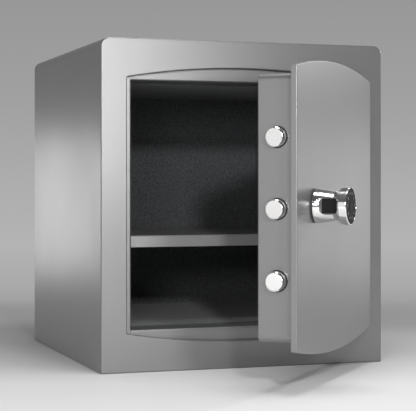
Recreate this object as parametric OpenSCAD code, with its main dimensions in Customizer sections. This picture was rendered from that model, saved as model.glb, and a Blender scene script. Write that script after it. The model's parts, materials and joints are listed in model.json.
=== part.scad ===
// Free-standing home safe with an arched, flush door, three moving bolts and a round keypad knob.
// X runs across the front, +Y points to the back, +Z up. The origin is on the floor, at the centre
// of the base. The door is drawn open by door_rest, with its bolts withdrawn.

/* [Cabinet] */
// Width over the outer shell
cab_w = 412; // [380:1:460]
// Depth from the front face to the back face
cab_d = 430; // [390:1:480]
// Height over the outer shell
cab_h = 450; // [446:1:500]
// Sheet thickness of the shell, the fascia, the rebate frame and the back panel
shell_t = 3; // [2.5:0.5:3]
// Outside radius of the two long top edges
edge_r = 12; // [8:1:20]

/* [Door opening] */
// Width of the arched opening in the fascia
opening_w = 340; // [340:1:344]
// Height of the arched opening from crown to crown
opening_h = 375; // [374:1:378]
// Rise of each arch over the width of the opening
arch_rise = 15; // [10:1:16]
// Depth of the recess in front of the rebate face
recess_d = 12; // [12:0.5:13]
// Width of the rectangular way in behind the recess
clear_w = 322; // [320:1:324]
// Height of the rectangular way in behind the recess
clear_h = 338; // [336:1:342]
// Depth from the front face to where the door frame meets the liner
frame_d = 60; // [60:1:66]

/* [Inside] */
// Wall between the back of the liner and the back face
back_wall = 43; // [40:1:50]
// Sheet thickness of the liner
liner_t = 2; // [1.5:0.5:2]
// Thickness of the felt lining
felt_t = 2; // [1:0.5:2]
// Height of the shelf's top face
shelf_top = 181; // [150:1:300]
// Height of the folded lip at the shelf's front
shelf_lip = 16.5; // [12:0.5:18]
// Distance of the shelf's lip behind the front face
shelf_front = 86; // [80:1:110]

/* [Door] */
// Angle at which the door stands open in the drawn position
door_rest = 49.6; // [0:0.2:94]
// Thickness of the door plate
plate_t = 8; // [6:0.5:8]
// Gap between the door plate and the opening, above, below and on the bolts' side
door_gap = 1; // [1:0.25:2]
// Gap between the door plate and the opening on the hinge side
hinge_gap = 2; // [2:0.25:3]
// Width of the casing behind the door plate
casing_w = 292; // [288:1:292]
// Height of the casing behind the door plate
casing_h = 328; // [320:1:328]
// Depth of the casing, without its cover
casing_d = 48; // [46:1:48]
// Corner radius of the casing
casing_r = 8; // [5:1:12]
// Distance of the hinge pivot from the cabinet's centre line
pivot_x = 190; // [190:0.5:191]
// Distance of the hinge pivot behind the front face
pivot_y = 9; // [8.5:0.25:9]
// Height of each hinge above or below the door's middle
hinge_rise = 125; // [110:1:130]

/* [Bolts] */
// Diameter of a moving bolt
bolt_dia = 25; // [20:1:25]
// Height between neighbouring bolts
bolt_pitch = 87.5; // [80:0.5:95]
// How far the middle bolt lies below the door's middle
bolt_drop = 1.5; // [0:0.5:3]
// Distance of the bolts' axes behind the door's face
bolt_y = 33; // [32:0.5:34]
// How far a bolt stands out of the casing when withdrawn
bolt_proud = 12; // [6:1:12]
// Travel of the bolts
bolt_throw = 20; // [16:1:20]

/* [Knob] */
// Distance of the knob's axis from the door's middle, towards the bolts
knob_x = 95.5; // [92:0.5:98]
// Height of the knob's axis above the door's middle
knob_z = 2; // [0:0.5:3]
// Diameter of the knob's round end
drum_dia = 46.5; // [44:0.5:48]
// Largest diameter of the knob's tapered neck
neck_dia = 40; // [38:0.5:41]
// How far the knob stands out of the door
knob_len = 46; // [44:0.5:50]

/* [Anchor holes] */
// Radius of an anchor hole
anchor_r = 6.5; // [5:0.5:7]
// Distance between the base anchor holes across the cabinet
anchor_span_x = 240; // [200:5:260]
// Distance between the base anchor holes from front to back
anchor_span_y = 230; // [200:5:240]
// Distance between the two back anchor holes
anchor_span_back = 160; // [120:5:200]
// Height of the back anchor holes
anchor_back_z = 300; // [260:5:320]

/* [Hidden] */
$fn = 96;
// Facets of the two large arcs
arc_fn = 1440;
front_y = -cab_d / 2;
mid_z = cab_h / 2;
arch_r = (pow(opening_w / 2, 2) + pow(arch_rise, 2)) / (2 * arch_rise);

// Cabinet, measured from the front face
rebate_back = recess_d + shell_t;
frame_t = 3;
liner_back = cab_d - back_wall;
inner_x = clear_w / 2;
inner_low = mid_z - clear_h / 2;
inner_top = mid_z + clear_h / 2;

// Door, measured closed
casing_t = 3;
cover_t = 2;
casing_back = plate_t + casing_d;
wall_x = casing_w / 2;
slab_t = 10;
work_y = plate_t + slab_t;
seal_w = 6;
seal_t = 3.4;

// Hinges
arm_h = 21;
arm_t = 7;
knuckle_r = 5.5;
leg_back = 2;
pin_r = 3;
pin_fit = 0.06;
lug_t = 7;
washer_gap = 2;
lug_z = arm_h / 2 + washer_gap;
foot_t = 6;
foot_h = 44;
pocket_h = 2 * (lug_z + lug_t + 1);
hinge_zs = [for (s = [-1, 1]) mid_z + s * hinge_rise];

// Fixed bolts on the hinge side
dog_r = 7;
dog_y = 44;
dog_tip = inner_x + 6;
dog_zs = [for (s = [-1, 1]) mid_z + s * 60];

// Moving bolts and the bar that carries them
bolt_r = bolt_dia / 2;
bolt_fit = 0.08;
bolt_zs = [for (s = [-1, 0, 1]) mid_z - bolt_drop + s * bolt_pitch];
bolt_tip = -wall_x - bolt_proud;
bar_x = -104;
bar_t = 6;
bar_y = 20;
bar_w = 26;
bar_end = 24;
bush_t = 1.2;
socket_r = bolt_r + 1.5;
socket_t = 2;
socket_end = bolt_tip - bolt_throw - 6;

// Crank: a quarter turn moves its pin by bolt_throw, from one side of the spindle to the other
spindle_x = -knob_x;
spindle_z = mid_z + knob_z;
spindle_r = 6;
spindle_bore = 3;
spindle_fit = 0.08;
crank_r = bolt_throw / sqrt(2);
crank_y = 12;
crank_t = 4;
crank_pin_r = 4;
slot_fit = 0.75;
lug_y = 20;
lug_plate_t = 6;

// Lock with its own small bolt, which rises into a notch of the bar's tail
tail_z = 262;
tail_h = 20;
tail_y = 30;
tail_t = 6;
tail_end = -6;
lock_bolt_x = -40;
lock_bolt_w = 10;
lock_bolt_travel = 6;
lock_bolt_top = tail_z - 1;
notch_w = lock_bolt_w + 2;
notch_h = lock_bolt_travel + 1.5;
lock_x = [-62, -12];
lock_z = [196, 256];
lock_d = 28;

// Knob, measured outwards from the door's face
rose_r = neck_dia / 2 + 0.3;
rose_t = 1.8;
neck_end_r = 17.4;
drum_r = drum_dia / 2;
drum_w = knob_len - 11;
flare_r = drum_r - neck_end_r - 1.2;
neck_w = [rose_t + 0.4, drum_w - flare_r - 0.6];
face_r = drum_r - 0.9;
cell_r = 12;
cell_t = 3.2;
flat_x = 15.6;
flat_tilt = 10;
flat_w = 18;
flat_h = 21.4;
flat_reach = [-11.5, 13];
badge_h = 19;
badge_t = 0.5;

// Everything on the cabinet is drawn with Y measured from the front face
module from_front() {
    translate([0, front_y, 0])
        children();
}

// Everything on the door is drawn closed, and this swings it to the drawn position
module on_door() {
    from_front()
        translate([pivot_x, pivot_y, 0])
            rotate([0, 0, door_rest])
                translate([-pivot_x, -pivot_y, 0])
                    children();
}

// Knob parts are drawn about +Z, and this turns that to point out of the door's face
module on_spindle() {
    on_door()
        translate([spindle_x, 0, spindle_z])
            rotate([90, 0, 0])
                children();
}

// Stands a flat X-Z outline up, from y to y + t
module slab(y, t) {
    translate([0, y + t, 0])
        rotate([90, 0, 0])
            linear_extrude(t)
                children();
}

// A box between two corners
module block(low, high) {
    translate(low)
        cube(high - low);
}

module rod_x(x, len, r) {
    translate([x, 0, 0])
        rotate([0, 90, 0])
            cylinder(h = len, r = r);
}

module rod_y(y, len, r) {
    translate([0, y, 0])
        rotate([-90, 0, 0])
            cylinder(h = len, r = r);
}

// The cabinet's front outline, with rounded top corners
module cabinet_outline(inset) {
    half = cab_w / 2 - inset;
    r = edge_r - inset;
    translate([-half, inset])
        square([2 * half, cab_h - edge_r - inset]);
    translate([r - half, inset])
        square([2 * (half - r), cab_h - 2 * inset]);
    for (s = [-1, 1])
        translate([s * (half - r), cab_h - edge_r])
            circle(r);
}

// The opening's outline, arched at the top and the bottom
module arched_outline(grow) {
    translate([0, mid_z])
        intersection() {
            square([opening_w + 2 * grow, opening_h + 2 * grow], center = true);
            translate([0, opening_h / 2 - arch_r])
                circle(arch_r + grow, $fn = arc_fn);
            translate([0, arch_r - opening_h / 2])
                circle(arch_r + grow, $fn = arc_fn);
        }
}

module clear_outline(grow) {
    translate([0, mid_z])
        square([clear_w + 2 * grow, clear_h + 2 * grow], center = true);
}

module casing_outline(inset) {
    r = casing_r - inset;
    half_w = casing_w / 2 - casing_r;
    half_h = casing_h / 2 - casing_r;
    translate([0, mid_z]) {
        square([casing_w - 2 * inset, 2 * half_h], center = true);
        square([2 * half_w, casing_h - 2 * inset], center = true);
        for (sx = [-1, 1])
            for (sz = [-1, 1])
                translate([sx * half_w, sz * half_h])
                    circle(r);
    }
}

// Upright cylinders at the four base anchor holes
module base_anchors(z, h, r) {
    for (sx = [-1, 1])
        for (sy = [-1, 1])
            translate([sx * anchor_span_x / 2, cab_d / 2 + sy * anchor_span_y / 2, z])
                cylinder(h = h, r = r);
}

// Level cylinders at the two back anchor holes
module back_anchors(y, len, r) {
    for (s = [-1, 1])
        translate([s * anchor_span_back / 2, 0, anchor_back_z])
            rod_y(y, len, r);
}

// ---- Cabinet ----

module outer_shell() {
    color("silver")
        from_front()
            difference() {
                slab(shell_t, cab_d - shell_t)
                    difference() {
                        cabinet_outline(0);
                        cabinet_outline(shell_t);
                    }
                base_anchors(-1, shell_t + 2, anchor_r);
            }
}

module back_panel() {
    color("silver")
        from_front()
            difference() {
                slab(cab_d - shell_t, shell_t)
                    cabinet_outline(shell_t);
                back_anchors(cab_d - shell_t - 1, shell_t + 2, anchor_r);
            }
}

// Front plate with a flange turned back around the arched opening, cut away at the hinges
module front_fascia() {
    color("gainsboro")
        from_front()
            difference() {
                union() {
                    slab(0, shell_t)
                        difference() {
                            cabinet_outline(0);
                            arched_outline(0);
                        }
                    slab(shell_t, recess_d - shell_t)
                        difference() {
                            arched_outline(shell_t);
                            arched_outline(0);
                        }
                }
                for (z = hinge_zs)
                    block([opening_w / 2 - 1, shell_t, z - pocket_h / 2],
                          [opening_w / 2 + 5, recess_d + 1, z + pocket_h / 2]);
            }
}

// Slots that the fixed bolts and the hinge arms pass through
module frame_cutouts() {
    for (z = dog_zs)
        block([inner_x - 1, dog_y - dog_r - 9, z - dog_r - 1.5],
              [inner_x + frame_t + 1, dog_y + dog_r + 2, z + dog_r + 1.5]);
    for (z = hinge_zs)
        block([inner_x - 1, recess_d - 1, z - pocket_h / 2],
              [cab_w / 2 - shell_t, 46, z + pocket_h / 2]);
}

module rebate_frame() {
    color("silver")
        from_front()
            difference() {
                union() {
                    slab(recess_d, shell_t)
                        difference() {
                            cabinet_outline(shell_t);
                            clear_outline(0);
                        }
                    slab(rebate_back, frame_d - rebate_back)
                        difference() {
                            clear_outline(frame_t);
                            clear_outline(0);
                        }
                }
                block([-inner_x - frame_t - 1, rebate_back, inner_low],
                      [-inner_x + 1, frame_d + 1, inner_top]);
                frame_cutouts();
            }
}

// Latch side of the door frame, with a hole for each moving bolt
module strike_jamb() {
    color("silver")
        from_front()
            difference() {
                block([-inner_x - frame_t, rebate_back, inner_low], [-inner_x, frame_d, inner_top]);
                for (z = bolt_zs)
                    translate([0, bolt_y, z])
                        rod_x(-inner_x - frame_t - 1, frame_t + 2, socket_r);
            }
}

module inner_liner() {
    color("dimgray")
        from_front()
            difference() {
                slab(frame_d, liner_back - frame_d)
                    clear_outline(liner_t);
                slab(frame_d - 1, liner_back - frame_d - liner_t + 1)
                    clear_outline(0);
                base_anchors(inner_low - liner_t - 1, liner_t + 2, anchor_r);
                back_anchors(liner_back - liner_t - 1, liner_t + 2, anchor_r);
            }
}

// Cast fire-resistant filling between the shell and the liner
module fire_fill() {
    color("lightgray")
        from_front()
            difference() {
                slab(rebate_back, cab_d - shell_t - rebate_back)
                    cabinet_outline(shell_t);
                slab(rebate_back - 1, frame_d - rebate_back + 1)
                    clear_outline(frame_t);
                slab(frame_d - 1, liner_back - frame_d + 1)
                    clear_outline(liner_t);
                for (z = hinge_zs)
                    block([inner_x, rebate_back - 1, z - pocket_h / 2 - 1],
                          [cab_w / 2 - shell_t + 1, 50, z + pocket_h / 2 + 1]);
                for (z = dog_zs)
                    block([inner_x, dog_y - dog_r - 12, z - dog_r - 4],
                          [dog_tip + 6, dog_y + dog_r + 4, z + dog_r + 4]);
                for (z = bolt_zs)
                    translate([0, bolt_y, z])
                        rod_x(socket_end - socket_t, inner_x, socket_r + socket_t);
                base_anchors(0, inner_low, anchor_r + 2.5);
                back_anchors(liner_back - 1, back_wall, anchor_r + 2.5);
            }
}

module felt_back() {
    color("#1c1d1f")
        from_front()
            difference() {
                slab(liner_back - liner_t - felt_t, felt_t)
                    clear_outline(0);
                back_anchors(liner_back - liner_t - felt_t - 1, felt_t + 2, anchor_r + 0.5);
            }
}

module felt_sides() {
    color("#1c1d1f")
        from_front()
            difference() {
                for (s = [-1, 1])
                    translate([s * (inner_x - felt_t / 2), frame_d, inner_low + felt_t])
                        translate([-felt_t / 2, 0, 0])
                            cube([felt_t, liner_back - liner_t - felt_t - frame_d,
                                  clear_h - 2 * felt_t]);
                peg_rods(4.3);
            }
}

module felt_floor() {
    color("#1c1d1f")
        from_front()
            difference() {
                block([-inner_x, frame_d, inner_low],
                      [inner_x, liner_back - liner_t - felt_t, inner_low + felt_t]);
                base_anchors(inner_low - 1, felt_t + 2, anchor_r + 0.5);
            }
}

module felt_ceiling() {
    color("#1c1d1f")
        from_front()
            block([-inner_x, frame_d, inner_top - felt_t],
                  [inner_x, liner_back - liner_t - felt_t, inner_top]);
}

// Four studs on the liner's side walls, which carry the shelf
module peg_rods(r) {
    for (s = [-1, 1])
        for (y = [shelf_front + 34, liner_back - 50])
            translate([0, y, shelf_top - shelf_lip - 4.2])
                rod_x(s > 0 ? inner_x - 13 : -inner_x, 13, r);
}

module shelf_pegs() {
    color("gray")
        from_front()
            peg_rods(4);
}

// Cups behind the door frame that the thrown bolts enter
module strike_sockets() {
    color("dimgray")
        from_front()
            for (z = bolt_zs)
                translate([0, bolt_y, z])
                    difference() {
                        rod_x(socket_end - socket_t, -inner_x - frame_t - socket_end + socket_t,
                              socket_r + socket_t);
                        rod_x(socket_end, inner_x, socket_r);
                    }
}

// Steel tubes that line the anchor holes through the filling
module anchor_sleeves() {
    color("gray")
        from_front()
            difference() {
                union() {
                    base_anchors(shell_t, inner_low - liner_t - shell_t, anchor_r + 2.5);
                    back_anchors(liner_back, back_wall - shell_t, anchor_r + 2.5);
                }
                base_anchors(0, inner_low, anchor_r);
                back_anchors(liner_back - 1, back_wall, anchor_r);
            }
}

// Two lugs on a web against the shell's side, with the hinge pin held in the lugs
module hinge_bracket(z) {
    web_x = cab_w / 2 - shell_t - 3;
    color("dimgray")
        from_front()
            difference() {
                union() {
                    for (low = [z - lug_z - lug_t, z + lug_z])
                        block([pivot_x - 8, shell_t + 0.5, low],
                              [web_x + 1, pivot_y + 15, low + lug_t]);
                    block([web_x, shell_t + 0.5, z - lug_z - lug_t],
                          [cab_w / 2 - shell_t, pivot_y + 36, z + lug_z + lug_t]);
                }
                translate([pivot_x, pivot_y, z - pocket_h])
                    cylinder(h = 2 * pocket_h, r = pin_r);
            }
}

module upper_hinge_bracket() {
    hinge_bracket(hinge_zs[1]);
}

module lower_hinge_bracket() {
    hinge_bracket(hinge_zs[0]);
}

module hinge_pin(z) {
    color("silver")
        from_front()
            translate([pivot_x, pivot_y, z - lug_z - lug_t])
                cylinder(h = 2 * (lug_z + lug_t), r = pin_r);
}

module upper_hinge_pin() {
    hinge_pin(hinge_zs[1]);
}

module lower_hinge_pin() {
    hinge_pin(hinge_zs[0]);
}

// Bronze washers between the lugs and the arms
module hinge_washers() {
    color("goldenrod")
        from_front()
            for (z = hinge_zs)
                for (low = [z - lug_z, z + lug_z - washer_gap + 0.2])
                    translate([pivot_x, pivot_y, low])
                        difference() {
                            cylinder(h = washer_gap - 0.2, r = knuckle_r - 0.3);
                            translate([0, 0, -1])
                                cylinder(h = washer_gap + 2, r = pin_r + 0.1);
                        }
}

// ---- Shelf ----

module shelf() {
    half = inner_x - felt_t - 2.5;
    back = liner_back - liner_t - felt_t - 8;
    sheet = 1.5;
    low = shelf_top - shelf_lip;
    color("gray")
        from_front()
            difference() {
                block([-half, shelf_front, low], [half, back, shelf_top]);
                block([sheet - half, shelf_front + sheet, low - 1],
                      [half - sheet, back - sheet, shelf_top - sheet]);
            }
}

// ---- Door ----

module door_plate() {
    edge_x = opening_w / 2 - hinge_gap;
    color("lightgray")
        on_door()
            difference() {
                slab(0, plate_t)
                    arched_outline(-door_gap);
                block([edge_x, -1, 0], [edge_x + hinge_gap, plate_t + 1, cab_h]);
                // Relief on the inner hinge edge, which passes the fascia as the door swings
                linear_extrude(cab_h)
                    polygon([[edge_x - 1.2, plate_t + 0.1], [edge_x + 0.1, plate_t - 4],
                             [edge_x + 1, plate_t + 0.1]]);
                translate([spindle_x, 0, spindle_z])
                    rod_y(-1, plate_t + 2, spindle_r + 2);
            }
}

module casing_screws(y, len, r) {
    for (sx = [-1, 1])
        for (sz = [-1, 0, 1])
            translate([sx * (wall_x - 10), 0, mid_z + sz * (casing_h / 2 - 10)])
                if (sx > 0 || sz != 0)
                    rod_y(y, len, r);
}

module door_casing() {
    tab = 14;
    color("lightgray")
        on_door()
            difference() {
                union() {
                    slab(plate_t, casing_d)
                        difference() {
                            casing_outline(0);
                            casing_outline(casing_t);
                        }
                    intersection() {
                        slab(casing_back - 10, 10)
                            casing_outline(0.5);
                        for (sx = [-1, 1])
                            for (sz = [-1, 0, 1])
                                translate([sx * (wall_x - tab / 2), casing_back - 5,
                                           mid_z + sz * (casing_h / 2 - tab / 2)])
                                    if (sx > 0 || sz != 0)
                                        cube([tab + 2, 10, tab + 2], center = true);
                    }
                }
                casing_screws(casing_back - 9, 10, 2.2);
                for (z = bolt_zs)
                    translate([0, bolt_y, z])
                        rod_x(-wall_x - 1, casing_t + 2, bolt_r + bush_t);
                for (z = dog_zs)
                    translate([0, dog_y, z])
                        rod_x(wall_x - casing_t - 1, casing_t + 2, dog_r - 2);
                for (z = hinge_zs)
                    arm_holes(z, wall_x - casing_t - 1, casing_t + 2);
            }
}

module door_back_cover() {
    color("silver")
        on_door()
            difference() {
                slab(casing_back, cover_t)
                    casing_outline(0);
                casing_screws(casing_back - 1, cover_t + 2, 2.2);
            }
}

module cover_screws() {
    color("gray")
        on_door() {
            casing_screws(casing_back - 7, cover_t + 7, 2);
            casing_screws(casing_back + cover_t, 1.8, 3.8);
        }
}

module door_insulation() {
    color("whitesmoke")
        on_door()
            difference() {
                slab(plate_t, slab_t)
                    casing_outline(casing_t);
                block([spindle_x - 34, 0, spindle_z - 38], [spindle_x + 34, 30, spindle_z + 38]);
            }
}

// Hardened plate behind the knob
module hard_plate() {
    color("slategray")
        on_door()
            difference() {
                block([spindle_x - 32, plate_t, spindle_z - 36],
                      [spindle_x + 32, crank_y - 1, spindle_z + 36]);
                translate([spindle_x, 0, spindle_z])
                    rod_y(0, 20, spindle_r + 2.5);
            }
}

// Fire seal around the casing, on the back of the door plate
module door_seal() {
    color("#202020")
        on_door()
            slab(plate_t, seal_t)
                difference() {
                    casing_outline(-seal_w - 1);
                    casing_outline(-1);
                }
}

module arm_holes(z, x, len) {
    for (sy = [-1, 1])
        for (sz = [-1, 1])
            translate([0, 35 + sy * 11, z + sz * 16])
                rod_x(x, len, 2.6);
}

// Gooseneck arm: a knuckle on the pin, a leg behind the fascia, and a bar to the casing
module hinge_arm(z) {
    color("dimgray")
        on_door()
            difference() {
                union() {
                    translate([pivot_x, pivot_y, z - arm_h / 2]) {
                        cylinder(h = arm_h, r = knuckle_r);
                        translate([-leg_back, 0, 0])
                            cube([leg_back + knuckle_r, 24 + arm_t, arm_h]);
                        translate([wall_x + foot_t - 1 - pivot_x, 24, 0])
                            cube([pivot_x - wall_x - foot_t + 1 + knuckle_r, arm_t, arm_h]);
                    }
                    block([wall_x, 18, z - foot_h / 2], [wall_x + foot_t, 52, z + foot_h / 2]);
                }
                translate([pivot_x, pivot_y, z - arm_h])
                    cylinder(h = 2 * arm_h, r = pin_r + pin_fit);
                arm_holes(z, wall_x - 1, foot_t + 2);
            }
}

module upper_hinge_arm() {
    hinge_arm(hinge_zs[1]);
}

module lower_hinge_arm() {
    hinge_arm(hinge_zs[0]);
}

module arm_screws() {
    color("gray")
        on_door()
            for (z = hinge_zs)
                for (sy = [-1, 1])
                    for (sz = [-1, 1])
                        translate([0, 35 + sy * 11, z + sz * 16]) {
                            rod_x(wall_x - casing_t - 3, casing_t + foot_t + 3.5, 2.4);
                            rod_x(wall_x + foot_t, 3, 4.3);
                        }
}

// Fixed bolts that keep the hinge side shut even if the hinges are cut off
module dog_bolts() {
    color("silver")
        on_door()
            for (z = dog_zs)
                translate([0, dog_y, z]) {
                    rod_x(wall_x, dog_tip - wall_x - 2, dog_r);
                    translate([dog_tip - 2, 0, 0])
                        rotate([0, 90, 0])
                            cylinder(h = 2, r1 = dog_r, r2 = dog_r - 2);
                    rod_x(wall_x - casing_t - 3, casing_t + 4, dog_r - 2.2);
                }
}

module bolt_bushes() {
    color("#303030")
        on_door()
            for (z = bolt_zs)
                translate([0, bolt_y, z])
                    difference() {
                        rod_x(-wall_x - 0.4, 12, bolt_r + bush_t - 0.05);
                        rod_x(-wall_x - 1, 14, bolt_r + bolt_fit);
                    }
}

// Channels at both ends of the bolt bar, which keep it square as it slides
module bolt_guides() {
    color("gray")
        on_door()
            for (s = [-1, 1])
                translate([0, 0, bolt_zs[1] + s * (bolt_pitch + bar_end + 3)])
                    difference() {
                        block([bar_x - bolt_throw - 8, work_y, -11],
                              [bar_x + bar_t + 8, bar_y + bar_w + 4, 11]);
                        translate([0, 0, -s * 4])
                            block([bar_x - bolt_throw - 3, bar_y - 0.6, -10],
                                  [bar_x + bar_t + 3, bar_y + bar_w + 0.6, 10]);
                    }
}

module lock_screw_rods(y, len, r) {
    for (x = [lock_x[0] + 6, lock_x[1] - 6])
        for (z = [lock_z[0] + 6, lock_z[1] - 6])
            translate([x, 0, z])
                rod_y(y, len, r);
}

// Case of the electric lock, with a guide for its small bolt
module lock_case() {
    gap = 0.4;
    color("goldenrod")
        on_door()
            difference() {
                block([lock_x[0], work_y, lock_z[0]], [lock_x[1], work_y + lock_d, lock_z[1]]);
                block([lock_bolt_x - lock_bolt_w / 2 - gap, tail_y - 2 - gap, lock_z[0] + 20],
                      [lock_bolt_x + lock_bolt_w / 2 + gap, tail_y + tail_t + 2 + gap,
                       lock_z[1] + 1]);
                lock_screw_rods(work_y - 1, lock_d + 2, 2.7);
            }
}

module lock_screws() {
    color("gray")
        on_door() {
            lock_screw_rods(work_y, lock_d, 2.5);
            lock_screw_rods(work_y + lock_d, 3, 4.2);
        }
}

module spindle_bush() {
    color("darkgoldenrod")
        on_door()
            translate([spindle_x, 0, spindle_z])
                difference() {
                    rod_y(0, plate_t, spindle_r + 1.95);
                    rod_y(-1, plate_t + 2, spindle_r + spindle_fit);
                }
}

module knob_rose() {
    color("#252525")
        on_spindle()
            difference() {
                cylinder(h = rose_t, r = rose_r);
                translate([0, 0, -1])
                    cylinder(h = rose_t + 2, r = spindle_r + 0.4);
            }
}

// Lead from the keypad through the hollow neck and spindle, then across to the lock case
function cable_points() = [
    [spindle_x, 1 - drum_w, spindle_z],
    [spindle_x, 0, spindle_z],
    [spindle_x, crank_y + crank_t - 3, spindle_z],
    [spindle_x, crank_y + crank_t + 1, spindle_z - 0.4],
    [spindle_x + 0.6, crank_y + crank_t + 3.6, spindle_z - 1.8],
    [spindle_x + 2.4, crank_y + crank_t + 5.4, spindle_z - 4.2],
    [spindle_x + 5.2, crank_y + crank_t + 6.6, spindle_z - 6.8],
    [spindle_x + 9, crank_y + crank_t + 7.4, spindle_z - 8.8],
    [spindle_x + 14, crank_y + crank_t + 7.9, spindle_z - 10],
    [spindle_x + 20, crank_y + crank_t + 8, spindle_z - 10.5],
    [lock_x[0] - 0.1, crank_y + crank_t + 8, spindle_z - 10.5]
];

// A tube swept along points, closed at both ends
module swept_tube(points, r, sides) {
    last = len(points) - 1;
    function unit(v) = v / norm(v);
    function along(i) = unit(points[min(i + 1, last)] - points[max(i - 1, 0)]);
    function side(i) = unit(cross(along(i), [0.1, 0.3, 1]));
    function ring(i) = [for (k = [0 : sides - 1])
        points[i] + r * (cos(360 * k / sides) * side(i)
                         + sin(360 * k / sides) * cross(along(i), side(i)))];
    rings = [for (i = [0 : last]) each ring(i)];
    walls = [for (i = [0 : last - 1])
        for (k = [0 : sides - 1])
            let (a = i * sides + k, b = i * sides + (k + 1) % sides)
                each [[a, b, b + sides], [a, b + sides, a + sides]]];
    cap_a = [for (k = [1 : sides - 2]) [0, k + 1, k]];
    cap_b = [for (k = [1 : sides - 2]) [last * sides, last * sides + k, last * sides + k + 1]];
    polyhedron(rings, concat(walls, cap_a, cap_b));
}

module lock_cable() {
    color("#202020")
        on_door()
            swept_tube(cable_points(), 1.5, 8);
}

// ---- Bolts ----

module bolt(z) {
    chamfer = 1.8;
    color("whitesmoke")
        on_door()
            translate([0, bolt_y, z])
                difference() {
                    union() {
                        rod_x(bolt_tip + chamfer, bar_x - bolt_tip - chamfer, bolt_r);
                        translate([bolt_tip, 0, 0])
                            rotate([0, 90, 0])
                                cylinder(h = chamfer, r1 = bolt_r - chamfer, r2 = bolt_r);
                    }
                    rod_x(bar_x - 16, 20, 4.2);
                }
}

module upper_bolt() {
    bolt(bolt_zs[2]);
}

module middle_bolt() {
    bolt(bolt_zs[1]);
}

module lower_bolt() {
    bolt(bolt_zs[0]);
}

// Upright bar that carries the three bolts
module bolt_bar() {
    color("darkgray")
        on_door()
            difference() {
                block([bar_x, bar_y, bolt_zs[0] - bar_end],
                      [bar_x + bar_t, bar_y + bar_w, bolt_zs[2] + bar_end]);
                for (z = bolt_zs)
                    translate([0, bolt_y, z])
                        rod_x(bar_x - 1, bar_t + 2, 4.2);
            }
}

// Plate welded to the bar, with an upright slot for the crank's pin
module drive_lug() {
    slot_x = spindle_x + crank_r / sqrt(2);
    slot_r = crank_pin_r + slot_fit;
    color("darkgray")
        on_door()
            difference() {
                block([bar_x + bar_t, lug_y, spindle_z + 2.5],
                      [slot_x + 11, lug_y + lug_plate_t, spindle_z + 25]);
                for (z = [crank_r / sqrt(2), crank_r])
                    translate([slot_x, 0, spindle_z + z])
                        rod_y(lug_y - 1, lug_plate_t + 2, slot_r);
                block([slot_x - slot_r, lug_y - 1, spindle_z + crank_r / sqrt(2)],
                      [slot_x + slot_r, lug_y + lug_plate_t + 1, spindle_z + crank_r]);
            }
}

// Strip welded to the bar, with two notches that the lock bolt rises into
module lock_tail() {
    color("darkgray")
        on_door()
            difference() {
                block([bar_x + bar_t, tail_y, tail_z],
                      [tail_end, tail_y + tail_t, tail_z + tail_h]);
                for (x = [lock_bolt_x, lock_bolt_x + bolt_throw])
                    block([x - notch_w / 2, tail_y - 1, tail_z - 1],
                          [x + notch_w / 2, tail_y + tail_t + 1, tail_z + notch_h]);
            }
}

module bolt_screws() {
    color("gray")
        on_door()
            for (z = bolt_zs)
                translate([0, bolt_y, z]) {
                    rod_x(bar_x - 14, 14 + bar_t, 4);
                    rod_x(bar_x + bar_t, 5, 6.3);
                }
}

// ---- Lock bolt ----

module lock_bolt() {
    color("silver")
        on_door()
            block([lock_bolt_x - lock_bolt_w / 2, tail_y - 2, lock_z[0] + 24],
                  [lock_bolt_x + lock_bolt_w / 2, tail_y + tail_t + 2, lock_bolt_top]);
}

// ---- Knob ----

// The flat on the neck leans in towards the round end: X points into the knob, Z along it
module on_flat() {
    translate([-flat_x, 0, flat_w])
        rotate([0, flat_tilt, 0])
            children();
}

// Tapered neck with a flared end and a milled flat on its side
module knob_neck() {
    color("whitesmoke")
        on_spindle()
            difference() {
                union() {
                    translate([0, 0, neck_w[0]])
                        cylinder(h = neck_w[1] - neck_w[0], r1 = neck_dia / 2, r2 = neck_end_r);
                    rotate_extrude()
                        difference() {
                            translate([0, neck_w[1]])
                                square([neck_end_r + flare_r, drum_w - neck_w[1]]);
                            translate([neck_end_r + flare_r, neck_w[1]])
                                circle(flare_r);
                            translate([neck_end_r, neck_w[1] - 1])
                                square([flare_r + 1, 1]);
                        }
                }
                on_flat()
                    block([-neck_dia / 2, -flat_h / 2, flat_reach[0]],
                          [0, flat_h / 2, flat_reach[1]]);
                translate([0, 0, -1])
                    cylinder(h = neck_w[0] + 13, r = spindle_r + 0.02);
                translate([0, 0, neck_w[0] + 11])
                    cylinder(h = knob_len, r = spindle_bore);
            }
}

// Round end that houses the keypad
module knob_drum() {
    bevel = 0.8;
    rim = 0.4;
    color("whitesmoke")
        on_spindle()
            difference() {
                rotate_extrude()
                    polygon([[0, drum_w], [drum_r - bevel, drum_w], [drum_r, drum_w + bevel],
                             [drum_r, knob_len - rim], [drum_r - rim, knob_len],
                             [0, knob_len]]);
                translate([0, 0, drum_w + 2])
                    cylinder(h = knob_len, r = face_r - 1.2);
                translate([0, 0, knob_len - 1.6])
                    cylinder(h = 2, r = face_r);
                translate([0, 0, drum_w - 1])
                    cylinder(h = 4, r = spindle_bore);
            }
}

module keypad_face() {
    color("#151515")
        on_spindle()
            translate([0, 0, knob_len - 1.5])
                cylinder(h = 1.1, r = face_r - 0.15);
}

module knob_badge() {
    color("#151515")
        on_spindle()
            on_flat()
                block([-badge_t, -badge_h / 2, flat_reach[0] + 6.5],
                      [0, badge_h / 2, flat_reach[1] - 0.2]);
}

module keypad_board() {
    color("darkgreen")
        on_spindle()
            translate([0, 0, knob_len - 3.8])
                cylinder(h = 1.6, r = face_r - 1.8);
}

module coin_cells() {
    color("silver")
        on_spindle()
            translate([0, 0, drum_w + 2.4])
                cylinder(h = cell_t, r = cell_r);
}

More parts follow.
